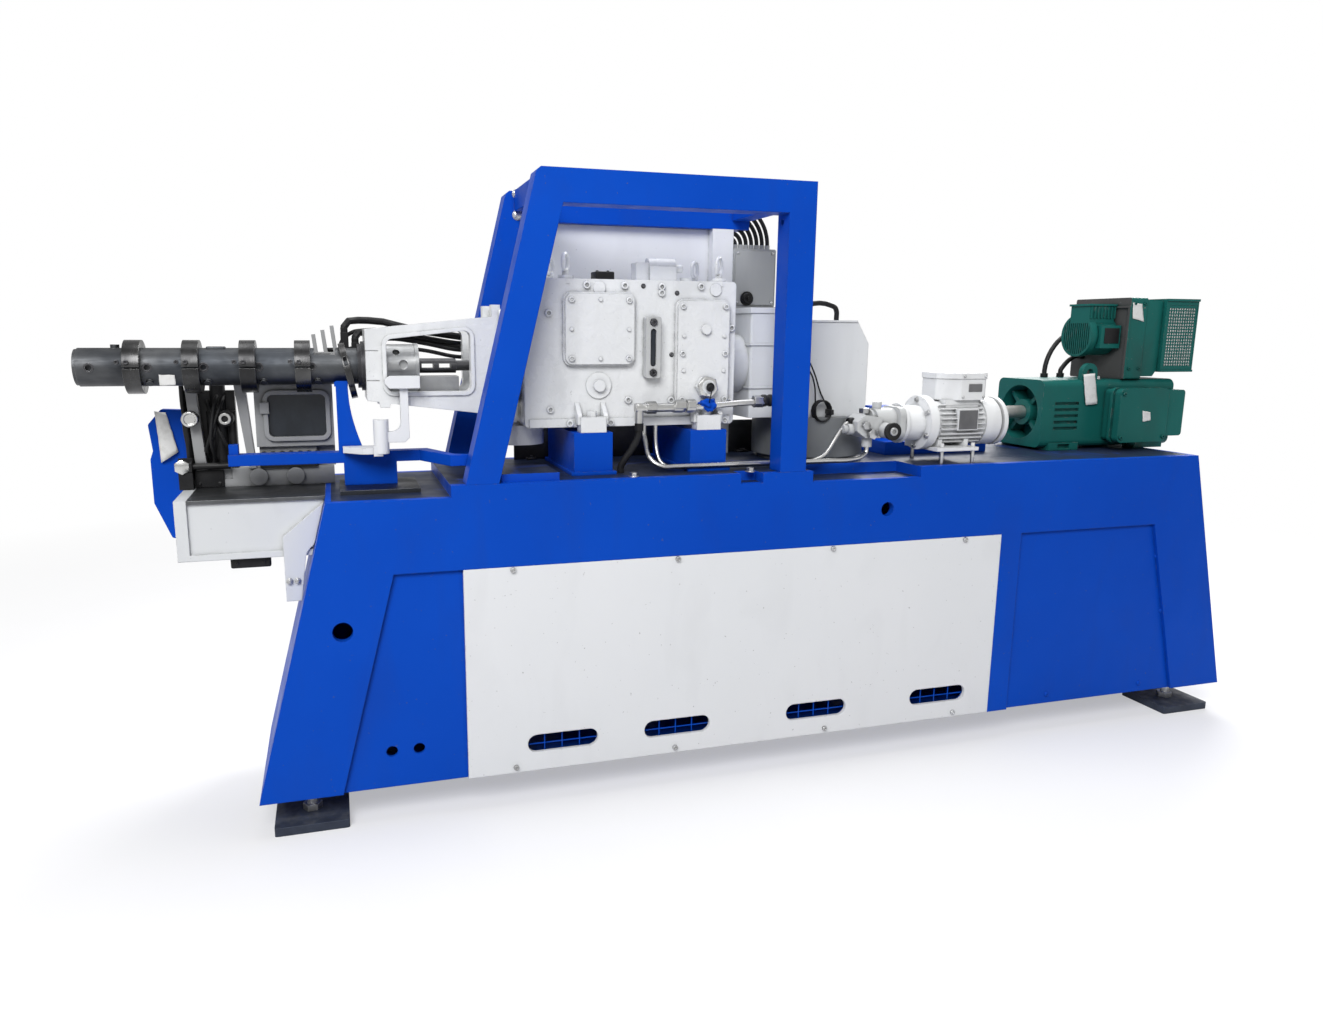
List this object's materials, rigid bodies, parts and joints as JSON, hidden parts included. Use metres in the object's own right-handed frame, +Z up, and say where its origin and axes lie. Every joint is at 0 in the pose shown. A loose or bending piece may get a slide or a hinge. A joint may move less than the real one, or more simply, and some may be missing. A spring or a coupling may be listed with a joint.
{
  "type": "plastic extruder",
  "caption": "Single-screw plastic extruder: blue welded base and frame, white cast gearbox and open lantern, banded steel barrel on a slide beam, oil pump set and green DC motor.",
  "frame": {"origin": "on the floor under the middle of the machine's length and width", "axes": "+X along the machine from the barrel towards the motor, +Y from the front to the back, +Z up"},
  "size_m": [3.032, 0.44, 1.4625],
  "materials": {
    "blue_paint": "gloss machine paint, chipped at edges",
    "white_panel": "smooth satin paint",
    "white_cast": "gloss paint over rough casting",
    "deck_dark": "oily dark steel",
    "pad_black": "matt",
    "bolt_steel": "bright zinc",
    "box_grey": "satin grey paint",
    "cable_black": "matt",
    "barrel_steel": "dark nitrided steel",
    "band_steel": "polished and worn",
    "dark_steel": "oily",
    "tube_steel": "drawn tube",
    "rail_steel": "ground and oiled",
    "head_grey": "grey casting",
    "sight_glass": "dark tinted",
    "black_parts": "oily black",
    "motor_green": "gloss dark green",
    "shaft_steel": "ground, lightly oxidised"
  },
  "bodies": {
    "machine": {"base_front_side": "blue_paint", "base_rear_side": "blue_paint", "base_deck": "blue_paint", "base_ends": "blue_paint", "side_panels": "white_panel", "foot_pads": "pad_black", "levelling_bolts": "bolt_steel", "front_frame": "blue_paint", "rear_frame": "blue_paint", "back_panel": "white_panel", "junction_box": "box_grey", "junction_cables": "cable_black", "gearbox_housing": "white_cast", "gearbox_covers": "white_cast", "oil_gauge": "bolt_steel", "eyebolts": "white_cast", "gearbox_fittings": "box_grey", "gearbox_pedestals": "blue_paint", "lantern": "white_cast", "feed_cylinder": "barrel_steel", "barrel": "barrel_steel", "barrel_clamps": "band_steel", "barrel_flange": "dark_steel", "slide_beam": "white_panel", "beam_rail": "rail_steel", "end_plate": "blue_paint", "guard_bar": "blue_paint", "ledge_plate": "deck_dark", "feed_arm": "white_panel", "head_casting": "head_grey", "head_window": "head_grey", "head_glass": "sight_glass", "head_fittings": "black_parts", "cable_bundle": "cable_black", "coupling_guard": "white_panel", "guard_pipe": "cable_black", "guard_pedestal": "white_panel", "pump_motor": "white_cast", "oil_pump": "white_cast", "oil_pipes": "tube_steel", "oil_hose": "cable_black", "motor_plinth": "blue_paint", "motor_body": "motor_green", "motor_terminal_box": "motor_green", "blower_housing": "motor_green", "blower_motor": "motor_green", "air_filter": "motor_green", "blower_hoses": "cable_black"},
    "drive_shaft": {"drive_shaft": "dark_steel"},
    "motor_rotor": {"motor_shaft": "shaft_steel"}
  },
  "joints": [
    {"name": "drive_shaft_turn", "type": "hinge", "parent": "machine", "child": "drive_shaft", "pos_m": [-0.7, 0, 1.03], "axis": [1, 0, 0], "continuous": true},
    {"name": "motor_shaft_turn", "type": "hinge", "parent": "machine", "child": "motor_rotor", "pos_m": [0.96, 0.077, 0.883], "axis": [1, 0, 0], "continuous": true}
  ]
}
